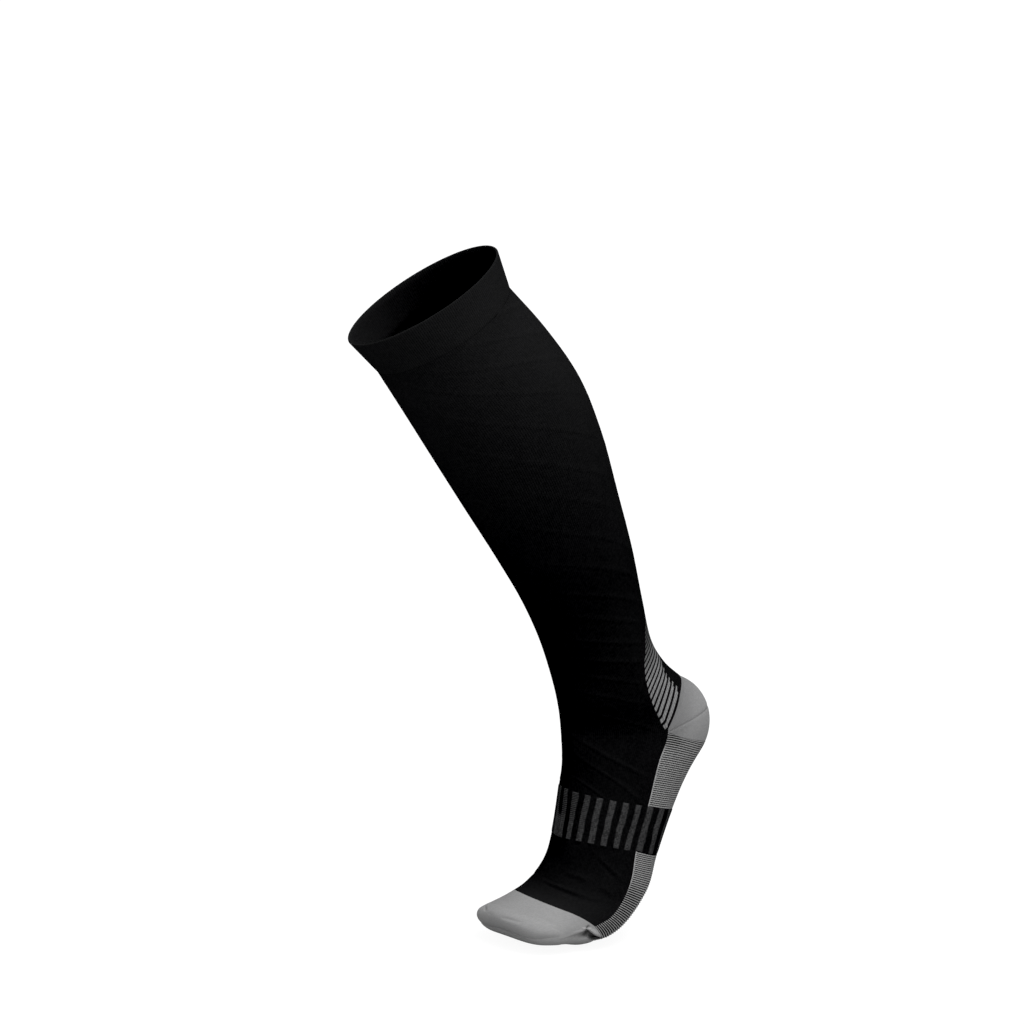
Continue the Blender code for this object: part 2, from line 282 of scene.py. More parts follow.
def section_at(place, on_foot):
    """Front point, side point, half width, front roundness, slant, back point and back roundness."""
    if place < PLACE["welt_end"]:
        return np.concatenate([read_rows([0, WELT_END], half, place) for half in (1, 2)])
    front = read_rows(LEG_ROWS + FOOT_ROWS[1:], 1, place)
    back = read_rows(FOOT_ROWS if on_foot else LEG_ROWS, 2, place)
    return np.concatenate([front, back])


print(f"the calf is {2 * section_at(PLACE['full_calf'], False)[4]:.0f} mm wide")

# %% [markdown]
# ## Rings
#
# A ring is one round of the tube. Its places are counted in quarters: 0 is the middle of the shin or the
# instep, 1 the outer side line, 2 the middle of the back or the sole, and -1 and 3 are the inner side
# line. Points are spaced evenly along each quarter, as stitches are. Three kinds of ring follow each other
# down the foot: rings of the tube, arcs of the heel pocket that all start at the gore corner, and the
# rings of the toe that shrink to the closing seam.

# %% Rings of the tube, the heel and the toe
QUARTER_SAMPLES = 241


def half_ring(middle, side, half_width, roundness, slant, shares):
    """Points of half a ring. A share runs from -1 on the -X side over 0 in the middle to 1."""
    turn = np.linspace(0.0, pi / 2, QUARTER_SAMPLES)
    across = half_width * np.sin(turn) ** (2 / roundness)
    along = np.maximum(np.cos(turn), 0.0) ** (2 / roundness)
    quarter = np.column_stack([across, *(side[:, None] + (middle - side)[:, None] * along)])
    run = np.append(0.0, np.cumsum(np.linalg.norm(np.diff(quarter, axis=0), axis=1)))
    points = np.column_stack([np.interp(abs(shares) * run[-1], run, column) for column in quarter.T])
    points[:, 0] *= np.sign(shares)
    points[:, 1] += points[:, 0] * tan(radians(slant))
    return points


def join_halves(front, back, around):
    """Points round a whole ring, from its front half and its back half."""
    share = np.where(around > 1, 2 - around, np.where(around < -1, -2 - around, around))
    return np.where((abs(around) <= 1)[:, None], front(share), back(share))


def tube_ring(place, around, on_foot=False):
    """The ring at a place on the leg, or with on_foot on the foot."""
    fy, fz, sy, sz, half_width, front_round, slant, by, bz, back_round = section_at(place, on_foot)
    front, side, back = np.array([fy, fz]), np.array([sy, sz]), np.array([by, bz])
    return join_halves(lambda share: half_ring(front, side, half_width, front_round, slant, share),
                       lambda share: half_ring(back, side, half_width, back_round, slant, share), around)


def heel_ring(turn, around):
    """An arc of the heel pocket: turn is 0 at its top edge and 1 at its bottom edge."""
    rows = SECTIONS[HEEL_TOP:HEEL_BOTTOM + 1]
    falls = np.array([-s.back_rise for s in rows], float)
    fall = falls[0] + (falls[-1] - falls[0]) * turn
    depth = smooth(falls, np.array([[s.back] for s in rows], float), fall)[0]
    side = MARKS[HEEL_TOP][1][2:4]
    back = side + reach_of(depth, -fall)
    return half_ring(back, side, rows[0].half_width, rows[0].back_round, 0, 2 - around)


def toe_ring(turn, around):
    """A ring of the rounded toe: turn is 0 at the last section and 1 at the closing seam."""
    fy, fz, sy, sz, half_width, front_round, slant, by, bz, back_round = section_at(MARKS[-1][0], True)
    angle = turn * pi / 2
    wide = half_width * (TIP_WIDTH + (1 - TIP_WIDTH) * max(cos(angle), 0.0) ** (2 / TOE_CORNERS))
    deep = max(cos(angle), 0.0) ** (2 / TOE_NOSE)
    side = np.array([sy, sz])
    middle = side - np.array([TOE_REACH, TIP_DROP]) * sin(angle)
    front = middle + (np.array([fy, fz]) - side) * deep
    back = middle + (np.array([by, bz]) - side) * deep
    return join_halves(lambda share: half_ring(front, middle, wide, front_round, slant, share),
                       lambda share: half_ring(back, middle, wide, back_round, slant, share), around)


def girth_of(ring):
    """The length once round a ring, in millimetres."""
    return np.linalg.norm(np.diff(ring, axis=0), axis=1).sum()


for place_name in ("rim", "full_calf", "ankle", "ball"):
    round_it = tube_ring(PLACE[place_name], np.linspace(-2.0, 2.0, QUARTER_SAMPLES), place_name == "ball")
    print(f"{place_name}: {girth_of(round_it):.0f} mm round")

# %% [markdown]
# ## One path down the cloth
#
# A zone's edge is seldom a straight section: the heel pocket starts a little higher at the back than at
# its corners, and the toe's edge dips at the sides. So a zone is laid out by its path, a length down the
# cloth that runs through the leg, round the heel pocket and along the foot to the toes. Each column of a
# zone's grid has its own start and end on the path, and the rows follow the knitted courses between them.

# %% The path and the sheet's grid
HEEL_RUN = 60.0  # length of the path round the heel pocket
TOE_RUN = 30.0  # and over the end of the toes
CORNER = PLACE["heel_top"]  # the gore corner, where the pocket's arcs all start
TOES = PLACE["toe_middle"]


def ring_on_path(path, around, by_heel):
    """The ring at a length down the path. by_heel goes round the pocket, for the back half only."""
    if by_heel and path > CORNER:
        if path < CORNER + HEEL_RUN:
            return heel_ring((path - CORNER) / HEEL_RUN, around)
        path -= HEEL_RUN
    if path > TOES:
        return toe_ring(min((path - TOES) / TOE_RUN, 1.0), around)
    return tube_ring(path, around, on_foot=path > CORNER)


def lay_rows(paths, around, by_heel=False):
    """Points of a grid whose columns lie at the given places round, each with its own paths down."""
    stations = np.linspace(paths.min(), paths.max(), max(len(paths), 2))
    rings = np.array([ring_on_path(station, around, by_heel) for station in stations])
    points = np.empty((*paths.shape, 3))
    for column in range(len(around)):
        for axis in range(3):
            points[:, column, axis] = np.interp(paths[:, column], stations, rings[:, column, axis])
    return points


def between(start, end, rows):
    """Paths for rows of courses from one edge to another. An edge has one path for each column."""
    share = np.linspace(0.0, 1.0, rows)[:, None]
    return start[None, :] * (1 - share) + end[None, :] * share


def outward(points):
    """Unit normals of a grid of points, rows down the cloth and columns round it."""
    down, round_it = np.gradient(points, axis=0), np.gradient(points, axis=1)
    if np.allclose(points[:, 0], points[:, -1], atol=1e-6):
        ends = points[:, 1] - points[:, -2]
        round_it[:, 0], round_it[:, -1] = ends, ends
    normals = np.cross(down, round_it)
    return normals / np.maximum(np.linalg.norm(normals, axis=2), 1e-9)[:, :, None]


def raised(points, rise):
    """The points of a grid, moved outwards by a rise."""
    return points + outward(points) * rise[:, :, None]


print(f"path: the gore corner at {CORNER:.0f} mm, the toes at {TOES:.0f} mm")

# %% [markdown]
# ## Folds
#
# Tight cloth has few real folds. Where the ankle and the ball of the foot bend, it buckles into short soft
# troughs with a low ridge beside them. On the leg and the instep the pull shows as long faint lines that
# fan from the shin to the calf. Both kinds are listed in one table each, uneven as they are on cloth.

# %% Creases
# place and around are a crease's middle, climb is how far it runs down in one quarter of the ring, reach
# half its length in quarters, width its half width and depth how far it sinks in. A ridge has a minus.
Crease = namedtuple("Crease", "place around climb reach width depth")
CREASES = [
    Crease(520.5,  0.40,   4.0, 0.52, 2.4,  0.80),     # across the base of the toes
    Crease(516.4,  0.34,   3.0, 0.50, 2.0, -0.60),
    Crease(514.0,  0.12,   2.0, 0.30, 1.4,  0.35),
    Crease(502.5,  0.45,   5.0, 0.25, 1.9, -0.35),
    Crease(506.0,  0.40,   8.0, 0.30, 2.4,  0.40),
    Crease(492.5,  0.35,  52.0, 0.15, 1.9, -0.35),
    Crease(496.0,  0.42,  45.0, 0.16, 2.6,  0.40),
    Crease(489.5,  0.73,  52.0, 0.27, 2.0, -0.50),
    Crease(493.5,  0.74,  52.0, 0.28, 2.4,  0.45),
    Crease(508.0,  0.77,  46.0, 0.16, 1.9, -0.35),
    Crease(513.0,  0.80,  30.0, 0.14, 2.4,  0.45),
    Crease(518.0, -0.62,  -6.0, 0.36, 2.0,  0.90),     # and on the inner side
    Crease(514.5, -0.60,  -5.0, 0.33, 1.8, -0.45),
    Crease(505.0, -0.55, -20.0, 0.30, 2.2,  0.50),
    Crease(497.0, -0.60, -45.0, 0.22, 2.0, -0.40),
    Crease(488.0, -0.72, -50.0, 0.22, 2.4,  0.40),
    Crease(550.3,  0.965, 90.0, 0.050, 1.1, 2.40),     # the notch beside the little toe
    Crease(541.5,  1.50, -15.0, 0.30, 1.8,  0.60),
    Crease(553.0, -1.05,  30.0, 0.14, 2.6,  0.90),
    Crease(582.4,  0.33,  -8.0, 0.30, 2.2,  0.85),     # dimples between the toes
    Crease(577.5, -0.58,   8.0, 0.12, 2.4,  0.90),
    Crease(585.0, -0.15,  -8.0, 0.10, 2.6,  0.45),
    Crease(566.0,  0.62,  10.0, 0.20, 3.5,  0.35),
    Crease(560.0, -0.25,  -6.0, 0.30, 4.0,  0.30),
    Crease(579.5, -0.36,  20.0, 0.13, 1.9,  1.70),
]


def crease_depth(paths, around):
    """How far the creases sink in, over a grid of paths and places round."""
    depth = np.zeros(paths.shape)
    for crease in CREASES:
        off = around - crease.around
        run = np.clip(abs(off) / crease.reach, 0.0, 1.0)
        apart = (paths - crease.place - crease.climb * off[None, :]) / crease.width
        depth += crease.depth * np.exp(-apart**2) * (np.cos(run * pi / 2) ** 2)[None, :]
    return depth


print(len(CREASES), "creases")

# %% The pinch beside the little toe
# The cap's spare cloth hangs over in two lips that meet in a notch. Below them lies a hollow, with a steep
# wall under the lips and a long slope back out. Each table has places along the side line, and what is read
# there: the lips' place round the ring, a share of the distance from them, or a size in millimetres.
LIP_ROUND = ([536.0, 543.5, 548.6, 553.0, 556.0, 564.0, 572.0, 590.0],
             [1.38, 1.19, 1.09, 0.99, 1.015, 1.03, 1.035, 1.05])
LIP_NEAR = ([551, 556], [0.7, 1.0])
LIP_ABOVE, LIP_WIDE = 1.2, 1.3  # the lips swell this far above their edge, and this wide
WALL_WIDE, SUNK_WIDE = 0.9, 11.0  # the steep wall, and the sunken cloth beyond the hollow
ROUND_MM = 50.0  # length of a quarter of the ring there
HOLLOW_DEEP = ([538.5, 540.5, 543, 546, 550, 554, 557, 561, 566, 572, 580],
               [0.0, 6.0, 11.0, 13.5, 13.5, 10.5, 6.0, 2.6, 1.1, 0.4, 0.0])
HOLLOW_WIDE = ([540, 545, 549, 554, 558, 563], [2.0, 3.6, 3.8, 2.8, 1.8, 1.0])
HOLLOW_SLOPE = ([543, 548, 553, 558, 566], [0.6, 0.9, 2.0, 3.4, 5.0])
INTO_HOLLOW = np.array([-0.90, 0.42, -0.10])  # nearly level, so that its floor stays above the sole
SUNK = ([538.5, 543, 550, 556, 564], [0.0, 0.6, 0.9, 0.5, 0.0])
LIP_SWELL = ([540, 548, 553, 560, 570], [0.6, 1.8, 1.0, 0.7, 0.0])


def pinched(points, paths, around, rise):
    """Points raised outwards, with the pinch beside the little toe folded into them."""
    below = (around[None, :] - np.interp(paths, *LIP_ROUND)) * ROUND_MM * np.interp(paths, *LIP_NEAR)
    down = np.clip(below / WALL_WIDE, 0.0, 1.0)
    back_out = np.clip(below - np.interp(paths, *HOLLOW_WIDE), 0.0, None) / np.interp(paths, *HOLLOW_SLOPE)
    wall = down * down * (3 - 2 * down) * np.exp(-back_out**2)
    swell = np.interp(paths, *LIP_SWELL) * np.exp(-((below + LIP_ABOVE) / LIP_WIDE) ** 2)
    beyond = np.interp(paths, *SUNK) * down * np.exp(-(below / SUNK_WIDE) ** 2)
    hollow = np.interp(paths, *HOLLOW_DEEP) * wall
    return raised(points, rise + swell - beyond) + hollow[:, :, None] * INTO_HOLLOW


print(f"the pinch is {max(HOLLOW_DEEP[1])} mm deep")


# %% The long lines of the pull
# at_side is where a line crosses the side line, climb how far it runs down in a quarter, and first and
# last are where it starts and ends round the ring. The inner side has its own, a little off.
Pull = namedtuple("Pull", "at_side climb first last")
PULLS = [
    Pull(18, 32, 1.20, 1.75), Pull(35, 46, 0.85, 1.80), Pull(58, 47, 0.35, 1.85), Pull(84, 60, 0.05, 1.85),
    Pull(117, 71, 0.15, 1.85), Pull(150, 71, 0.25, 1.80), Pull(178, 69, 0.35, 1.80),
    Pull(208, 61, 0.40, 1.75), Pull(235, 52, 0.45, 1.75), Pull(259, 42, 0.40, 1.70),
    Pull(279, 38, 0.50, 1.55), Pull(299, 30, 0.40, 1.45), Pull(316, 26, 0.45, 1.30),
    Pull(336, 32, 0.40, 1.10), Pull(357, 34, 0.30, 0.98), Pull(385, 40, 0.30, 0.95),
    Pull(421, 40, 0.05, 0.99), Pull(442, 51, 0.10, 0.99), Pull(460, 43, 0.12, 0.60),
]
PULL_WIDTH, PULL_RISE = 1.3, 0.30
TROUGH_BELOW, TROUGH_SHARE = 1.9, 0.5  # the trough lies this many widths lower, and is shallower
INNER_SHIFT = 9.0  # the inner side's lines lie this much lower


def pull_lines(paths, around):
    """The lines of the pull, from 0 to 1 on their narrow ridges and below 0 in the trough under them."""
    rise = np.zeros(paths.shape)
    side = np.minimum(abs(around), 4 - abs(around))
    for pull in PULLS:
        run = np.clip((side - pull.first) / (pull.last - pull.first), 0.0, 1.0)
        fade = np.sin(run * pi) ** 0.6
        middle = pull.at_side + pull.climb * (side - 1) + np.where(around < 0, INNER_SHIFT, 0.0)
        apart = (paths - middle[None, :]) / PULL_WIDTH
        trough = TROUGH_SHARE * np.exp(-(apart - TROUGH_BELOW)**2)
        rise += fade[None, :] * (np.exp(-apart**2) - trough)
    return rise


print(len(CREASES), "creases and", len(PULLS), "lines of pull on each side")

# %% [markdown]
# ## Knitted sheets
#
# A sheet starts as a flat grid from bmesh.ops.create_grid, as a piece of cloth does. Its points then move
# to the rings, and the columns that meet are welded. Each sheet keeps its own maps as UV layers: "knit"
# counts wales and courses, so that a stitch always follows the cloth, and "pattern", "window" and "pull"
# hold what a zone's stripes and lines need. Solidify then gives the cloth its thickness, inwards.

# %% Sheet from a grid
WALES = 54  # columns of stitches in a quarter of a ring
COURSE = 1.2  # height of a course on the leg
CLOTH = 0.9  # thickness of one layer of the cloth
KIT = "root"  # the one body that everything rides on


def knit_sheet(name, points, maps, thickness=CLOTH):
    """A sheet of cloth through a grid of points, in millimetres, with its UV maps."""
    rows, columns = points.shape[:2]
    cloth = bmesh.new()
    bmesh.ops.create_grid(cloth, x_segments=columns - 1, y_segments=rows - 1, size=0.5)
    mesh = bpy.data.meshes.new(name)
    cloth.to_mesh(mesh)
    flat = np.empty(len(mesh.vertices) * 3, np.float32)
    mesh.vertices.foreach_get("co", flat)
    flat = flat.reshape(-1, 3)
    column = np.rint((flat[:, 0] + 0.5) * (columns - 1)).astype(int)
    row = np.rint((0.5 - flat[:, 1]) * (rows - 1)).astype(int)
    mesh.vertices.foreach_set("co", (points[row, column] * MM).astype(np.float32).ravel())
    corner = np.empty(len(mesh.loops), np.int32)
    mesh.loops.foreach_get("vertex_index", corner)
    for label, values in maps.items():
        layer = mesh.uv_layers.new(name=label)
        layer.data.foreach_set("uv", values[row, column][corner].astype(np.float32).ravel())
    cloth.clear()
    cloth.from_mesh(mesh)
    bmesh.ops.remove_doubles(cloth, verts=cloth.verts, dist=1e-6)
    for face in cloth.faces:
        face.smooth = True
    for rim in cloth.edges:
        rim.smooth = not rim.is_boundary
    cloth.to_mesh(mesh)
    cloth.free()
    sheet = bpy.data.objects.new(name, mesh)
    bpy.context.scene.collection.objects.link(sheet)
    if thickness:
        wall = sheet.modifiers.new("cloth", 'SOLIDIFY')
        wall.thickness = thickness * MM
        wall.offset = -1.0
    print(f"{name}: {rows} by {columns} points")
    return sheet


def pair(first, second):
    """Two grids of numbers as one UV map."""
    return np.stack(np.broadcast_arrays(first, second), axis=2).astype(float)


def stitches(around, courses):
    """The knit map: wales counted round the sheet, and courses down it."""
    return pair(around[None, :] * WALES, courses)


def by_side(around):
    """Places on the back half, with those past its middle counted from the inner side, as -2 to -1."""
    return np.where(around > 2, around - 4, around)


print(f"{4 * WALES} wales round the leg")


def hand_over(sheet, node, material):
    """Give the sheet its finish, hang it on the kit's one body and hide the frame's solid that it stands
    for.
    """
    sheet.data.materials.append(material)
    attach(sheet, KIT)
    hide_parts(node)


# %% [markdown]
# ## Yarn, stitches and stripes as node groups
#
# All zones share one knit, so the stitch is one group: it reads the wales and courses of the "knit" map
# and draws the two legs of each loop as a V. A second group is the fluff of the yarn, and a third draws a
# stripe from any number that grows down or round the cloth. They put out heights and masks only, and each
# material keeps its own shader. A socket knows the node tree that it lies in, so the helpers for sums need
# no tree: they take sockets and plain numbers alike.

# %% Small helpers for nodes


def feed(socket, source):
    """Join a socket to another one, or set it to a value. None leaves it as it is."""
    if isinstance(source, bpy.types.NodeSocket):
        socket.id_data.links.new(source, socket)
    elif source is not None:
        socket.default_value = source


def add_node(tree, kind, *sources, **settings):
    """Add a node with its settings, and feed its inputs in order."""
    node = tree.nodes.new(kind)
    for key, value in settings.items():
        setattr(node, key, value)
    for socket, source in zip(node.inputs, sources):
        feed(socket, source)
    return node


def maths(operation, *values):
    """The result of a Math node, in the tree of the first socket among its values."""
    tree = next(value.id_data for value in values if isinstance(value, bpy.types.NodeSocket))
    return add_node(tree, "ShaderNodeMath", *values, operation=operation).outputs[0]


times, plus, minus, scale_and_add = (
    partial(maths, operation) for operation in ('MULTIPLY', 'ADD', 'SUBTRACT', 'MULTIPLY_ADD'))


def ramp(value, low, high):
    """A smooth step from 0 at low to 1 at high. low may be above high."""
    node = add_node(value.id_data, "ShaderNodeMapRange", value, low, high, interpolation_type='SMOOTHSTEP')
    return node.outputs[0]


def mix_colours(mask, first, second):
    """The first colour where the mask is 0 and the second where it is 1."""
    node = add_node(mask.id_data, "ShaderNodeMix", mask, data_type='RGBA')
    feed(node.inputs[6], first)
    feed(node.inputs[7], second)
    return node.outputs[2]


def new_group(name, inputs, outputs):
    """An empty node group with named sockets, the values that come in and the sockets that go out."""
    group = bpy.data.node_groups.new(name, 'ShaderNodeTree')
    for label, kind, value in inputs:
        socket = group.interface.new_socket(name=label, in_out='INPUT', socket_type=kind)
        if value is not None:
            socket.default_value = value
    for label in outputs:
        group.interface.new_socket(name=label, in_out='OUTPUT', socket_type='NodeSocketFloat')
    return group, group.nodes.new("NodeGroupInput").outputs, group.nodes.new("NodeGroupOutput").inputs


print("helpers that add nodes, join them, do sums and start a group")

# %% The stitch
LEAN = 0.9  # how steeply the legs of a loop lean, in courses to a wale
GROOVE_SHADE = (0.16, 0.02)  # where the painted shade in the groove between two wales starts and is full

stitch, ins, outs = new_group(
    "knit_stitch",
    [("Map", 'NodeSocketVector', None), ("Lean", 'NodeSocketFloat', LEAN)],
    ("Height", "Groove", "Chance"))
wale, course, _ = add_node(stitch, "ShaderNodeSeparateXYZ", ins["Map"]).outputs
from_groove = maths('PINGPONG', wale, 0.5)
legs = maths('POWER', maths('SINE', times(from_groove, 2 * pi)), 0.6)
slide = plus(course, times(from_groove, ins["Lean"]))
loop = maths('SINE', times(maths('FRACT', slide), pi))
feed(outs["Height"], times(legs, scale_and_add(loop, 0.6, 0.4)))
# the groove's output is a mask of painted shade between two wales
feed(outs["Groove"], ramp(from_groove, *GROOVE_SHADE))
cell = add_node(stitch, "ShaderNodeCombineXYZ", maths('FLOOR', wale), maths('FLOOR', slide)).outputs[0]
chance = add_node(stitch, "ShaderNodeTexWhiteNoise", cell, noise_dimensions='2D')
feed(outs["Chance"], chance.outputs["Value"])
print("group:", stitch.name)

# %% The fluff of the yarn
FIBRES, FIBRE_DETAIL = 3200.0, 2.0  # the scale and detail of the fibres' noise
CLOUDS, CLOUD_DETAIL = 45.0, 3.0  # and of the slow change of tone over the cloth

fluff, ins, outs = new_group(
    "yarn_fluff", [("Place", 'NodeSocketVector', None), ("Grain", 'NodeSocketFloat', FIBRES)],
    ("Height", "Cloud"))
# a noise takes its place, a fourth dimension that isn't used, its scale and its detail
fibres = add_node(fluff, "ShaderNodeTexNoise", ins["Place"], None, ins["Grain"], FIBRE_DETAIL)
cloud = add_node(fluff, "ShaderNodeTexNoise", ins["Place"], None, CLOUDS, CLOUD_DETAIL)
feed(outs["Height"], fibres.outputs[0])
feed(outs["Cloud"], cloud.outputs[0])
print("group:", fluff.name)

# %% The stripe
stripe, ins, outs = new_group(
    "yarn_stripe",
    [("Count", 'NodeSocketFloat', 0.0), ("Share", 'NodeSocketFloat', 0.5),
     ("Blur", 'NodeSocketFloat', 0.06)],
    ("Mask",))
# a stripe is centred on each half count; its share is its width
from_middle = maths('ABSOLUTE', minus(maths('FRACT', ins["Count"]), 0.5))
edge = times(ins["Share"], 0.5)
feed(outs["Mask"], ramp(from_middle, plus(edge, ins["Blur"]), minus(edge, ins["Blur"])))
print("group:", stripe.name)

# %% A cloth material
DARKEST = 0.05  # the least that a shade leaves of its colour


class Cloth:
    """A knitted cloth's material: its shader, its maps and the shared groups, ready to be joined."""

    def __init__(self, name, roughness, specular, lean=LEAN):
        self.material = bpy.data.materials.new(name)
        self.material.use_nodes = True
        self.tree = self.material.node_tree
        self.shader = self.tree.nodes["Principled BSDF"]
        self.shader.inputs["Roughness"].default_value = roughness
        self.shader.inputs["Specular IOR Level"].default_value = specular
        knit = add_node(self.tree, "ShaderNodeUVMap", uv_map="knit").outputs[0]
        place = self.tree.nodes.new("ShaderNodeTexCoord").outputs["Object"]
        self.stitch = self.place_group(stitch, knit, lean)
        self.fluff = self.place_group(fluff, place)

    def place_group(self, group, *sources):
        """Place a shared group in this material, feed its inputs in order and give its outputs."""
        node = add_node(self.tree, "ShaderNodeGroup", node_tree=group)
        for socket, source in zip(node.inputs, sources):
            feed(socket, source)
        return node.outputs

    def map_values(self, label):
        """The two numbers of one of the sheet's own UV maps."""
        uv = add_node(self.tree, "ShaderNodeUVMap", uv_map=label).outputs[0]
        return add_node(self.tree, "ShaderNodeSeparateXYZ", uv).outputs[:2]

    def mask(self, count, share, blur):
        """A stripe's mask."""
        return self.place_group(stripe, count, share, blur)["Mask"]

    def shade(self, colour, groove, spread, lift=None):
        """Paint shade into a colour in the grooves between wales, vary it by stitch and in clouds, and
        paint it lighter or darker by a lift.
        """
        light = minus(1.0, times(self.stitch["Groove"], groove))
        for change in (self.stitch["Chance"], self.fluff["Cloud"]):
            light = plus(light, times(minus(change, 0.5), spread))
        if lift is not None:
            light = maths('MAXIMUM', plus(light, lift), DARKEST)
        scaled = add_node(self.tree, "ShaderNodeVectorMath", operation='SCALE')
        feed(scaled.inputs[0], colour if isinstance(colour, bpy.types.NodeSocket) else colour[:3])
        feed(scaled.inputs["Scale"], light)
        feed(self.shader.inputs["Base Color"], scaled.outputs[0])

    def relief(self, stitch_mm, fluff_mm):
        """Feed the stitches and the fluff to the normal, with heights in millimetres."""
        height = plus(times(self.stitch["Height"], stitch_mm), times(self.fluff["Height"], fluff_mm))
        bump = add_node(self.tree, "ShaderNodeBump")
        bump.inputs["Distance"].default_value = MM
        feed(bump.inputs["Height"], height)
        feed(self.shader.inputs["Normal"], bump.outputs[0])


BLACK = (0.0107, 0.0107, 0.0110, 1.0)  # the black yarn
GREY = (0.28, 0.28, 0.282, 1.0)  # the grey yarn in the bands over the tendon
HEEL_GREY_SHADED = (0.269, 0.269, 0.271, 1.0)  # and in the heel pocket, painted a little darker there as shade
PALE = (0.33, 0.33, 0.33, 1.0)  # the pale courses of the sole
SOOT = (0.053, 0.053, 0.054, 1.0)  # black yarn with some grey showing through
print("yarns:", BLACK[0], SOOT[0], HEEL_GREY_SHADED[0], GREY[0], PALE[0])

# %% The black knit
# how much lighter the black knit is painted along the side line: more over the calf and the ball, less at
# the ankle, partly for its stretch over the form and partly as painted light where the light falls
STRETCH_AND_LIGHT = ([0, 60, 150, 250, 320, 384, 420, 490, 510, 530, 545],
           [4.2, 5.2, 2.8, 0.4, 0.1, -0.5, -0.4, 0.2, 0.6, 4.5, 6.5])
PULL_SHOWS = ([200, 300, 480, 540], [1.6, 2.4, 2.4, 1.6])  # how much brighter a pull's line is painted, and its trough darker, as painted light and shade
LIFT_SCALE = 0.10  # how much lighter the cloth is for each of those
STITCH_TONES = 0.22  # how unlike the stitches of the black knit are


def stretch_and_light(pulls, paths):
    """How much lighter the cloth is painted: for its stretch over the form and as painted light along the
    side line, and on the lines of the pull, lighter on each and darker in the painted shade of the trough
    under it.
    """
    return pulls * np.interp(paths, *PULL_SHOWS) + np.interp(paths, *STRETCH_AND_LIGHT)


def black_cloth(name):
    """The black knit of the leg and the upper foot, painted a little lighter for its stretch and as painted
    light, and darker in painted shade.
    """
    cloth = Cloth(name, 0.8, 0.0)
    pull, _ = cloth.map_values("pull")
    # a lift that paints the cloth lighter for stretch and as painted light, and darker as painted shade in
    # the troughs
    cloth.lift = times(pull, LIFT_SCALE)
    cloth.relief(0.12, 0.05)
    return cloth


# where the black knit is painted lightest and darkest, by stretch and by painted light
print(f"stitches are widest at {STRETCH_AND_LIGHT[0][-1]} mm, narrowest at {STRETCH_AND_LIGHT[0][5]} mm")

# %% [markdown]
# ## The welt
#
# The welt is knitted double and turned over at the top, so that it holds without a hem. It is one closed
# loop of cloth: down the outside, over the rounded edge and up the inside. Its ribs are fine enough to
# count but coarse enough to catch the light at the edge, so here each rib is real relief.

# %% Welt
WELT_STEPS = 4  # grid columns to a wale
WELT_RIB = 0.16  # how far a rib of the welt stands proud
WELT_THICK = 1.7
WELT_DIVE = 0.15  # how far its lower edge dives under the leg's face
WELT_FADE = 2.0  # and over what length its ribs fade out there
WELT_TOP = 0.9  # where the rounded edge at the top starts
WELT_BLACK = (0.0176, 0.0176, 0.0180, 1.0)  # its ribs catch more light than the leg's stitches

around = np.linspace(-2.0, 2.0, 4 * WALES * WELT_STEPS + 1)
depth_down = np.linspace(PLACE["welt_end"], WELT_TOP, 21)[::-1, None]
outer_face = lay_rows(np.repeat(depth_down, len(around), 1), around)
facing = outward(outer_face)
ribs = WELT_RIB * abs(np.sin(pi * WALES * around)) ** 0.7
from_end = PLACE["welt_end"] - depth_down
ribs = ribs[None, :] * np.clip(from_end / WELT_FADE, 0.0, 1.0) - WELT_DIVE * (from_end < 0.1)
outer_face = outer_face + facing * ribs[:, :, None]
down_cloth = outer_face[1] - outer_face[0]
down_cloth /= np.linalg.norm(down_cloth, axis=1)[:, None]
bend = [outer_face[0] - facing[0] * WELT_THICK / 2 * (1 - cos(t)) - down_cloth * WELT_THICK / 2 * sin(t)
        for t in np.linspace(0.0, pi, 9)[1:-1]]
inner_face = outer_face - facing * (WELT_THICK + ribs[:, :, None])
welt_points = np.concatenate([outer_face[::-1], np.array(bend), inner_face[::3], outer_face[-1:]])
welt_course = np.append(0.0, np.cumsum(np.linalg.norm(np.diff(welt_points[:, 0], axis=0), axis=1)))

welt_cloth = Cloth("welt_black", 0.8, 0.0)
welt_cloth.shade(WELT_BLACK, 0.35, 0.12)
welt_cloth.relief(0.10, 0.05)
welt = knit_sheet("welt_knit", welt_points[::-1],
                  {"knit": stitches(around, welt_course[::-1, None] / COURSE)}, thickness=0)
hand_over(welt, "welt", welt_cloth.material)

# %% [markdown]
# ## The leg
#
# The leg is one sheet from the welt to the heel. Over the tendon it carries a patch on each side, whose
# grey bands grow from thin to broad as they near the heel. The bands are courses, so they are counted
# along the cloth. A border map says how far a point lies behind the patch's front edge, and a window map
# how far it lies outside the black arch in the middle of the back.

# %% The patch over the tendon


LEAN_SPREAD = 0.33  # a course has climbed most of its lean at this share


def lean_of(share, amount, spread=LEAN_SPREAD):
    """How far a course climbs from the side line towards the middle of the back."""
    return amount * (1 - np.exp(-share / spread))


def back_share(around):
    """0 on a side line and 1 in the middle of the back, for places on the back half."""
    return np.clip(1 - abs(2 - abs(around)), 0.0, 1.0)


HEEL_EDGE = ([0.0, 0.012, 0.19, 0.34, 0.50, 0.62, 0.84, 1.0],
             [384.0, 381.2, 380.0, 379.0, 377.8, 378.0, 379.8, 380.6])


def heel_edge(around):
    """The path of the heel pocket's top edge: at the gore corner on the side lines, higher at the back."""
    return np.interp(back_share(around), *HEEL_EDGE)


# courses where black yarn parts two grey bands, from the top of the patch to the heel
BAND_LINES = [296.0, 298.2, 300.4, 302.5, 304.6, 306.7, 308.8, 310.8, 312.8, 314.8, 316.8, 318.8, 320.9,
              323.1, 325.5, 328.2, 331.1, 334.4, 338.0, 341.7, 345.8, 349.8, 354.1, 358.8, 363.4, 368.5,
              373.9, 380.7]
